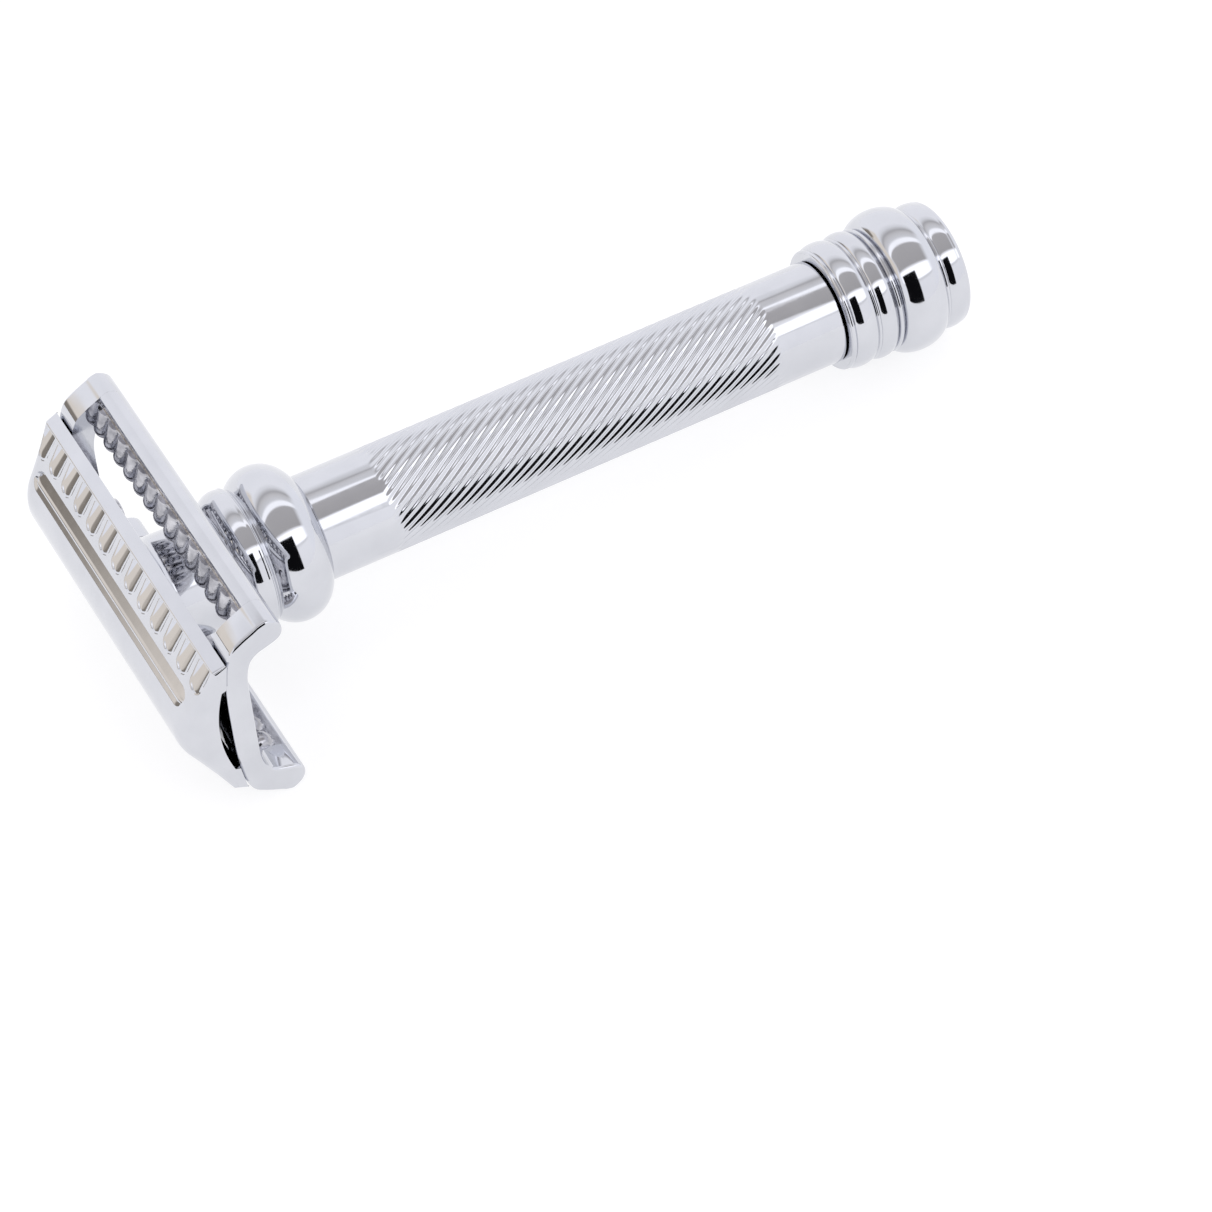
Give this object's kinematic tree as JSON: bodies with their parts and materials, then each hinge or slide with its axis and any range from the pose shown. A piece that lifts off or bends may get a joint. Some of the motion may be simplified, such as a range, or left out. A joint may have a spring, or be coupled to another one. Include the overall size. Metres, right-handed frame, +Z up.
{
  "type": "safety razor",
  "caption": "Double-edge safety razor, chrome plated, with a spiral-grooved round handle and an end knob that draws the arched cap down on a scalloped base plate.",
  "frame": {"origin": "under the middle of the razor's box, on the surface it lies on", "axes": "+Z up as the razor lies on its side, +X towards the knob end, Y along the edge of the head; the handle slopes down 3.02 degrees towards the knob"},
  "size_m": [0.102, 0.042, 0.0256],
  "materials": {
    "plating": "bright polished chrome plating",
    "steel": "turned bare steel",
    "brass": "turned bare brass"
  },
  "bodies": {
    "handle": {"base_plate": "plating", "neck_collar": "plating", "neck_sleeve": "steel", "neck_bush": "brass", "handle_tube": "plating", "rear_bush": "brass"},
    "cap": {"top_cap": "plating", "cap_stud": "steel"},
    "drive": {"draw_nut": "brass", "draw_rod": "steel", "retaining_clip": "steel", "spring_washer": "steel", "thrust_washer": "brass", "knob": "plating", "knob_screw": "steel", "knob_plug": "plating"}
  },
  "joints": [
    {"name": "knob_turn", "type": "hinge", "parent": "handle", "child": "drive", "pos_m": [-0.04114, 0, 0.01284], "axis": [0.9986, 0, -0.0527], "range_deg": [0, 2701]},
    {"name": "cap_lift", "type": "slide", "parent": "handle", "child": "cap", "axis": [-0.9986, 0, 0.0527], "range_m": [0, 0.006]}
  ],
  "couplings": [
    {"joint": "knob_turn", "follows": "cap_lift", "rad_per_m": 7854}
  ]
}
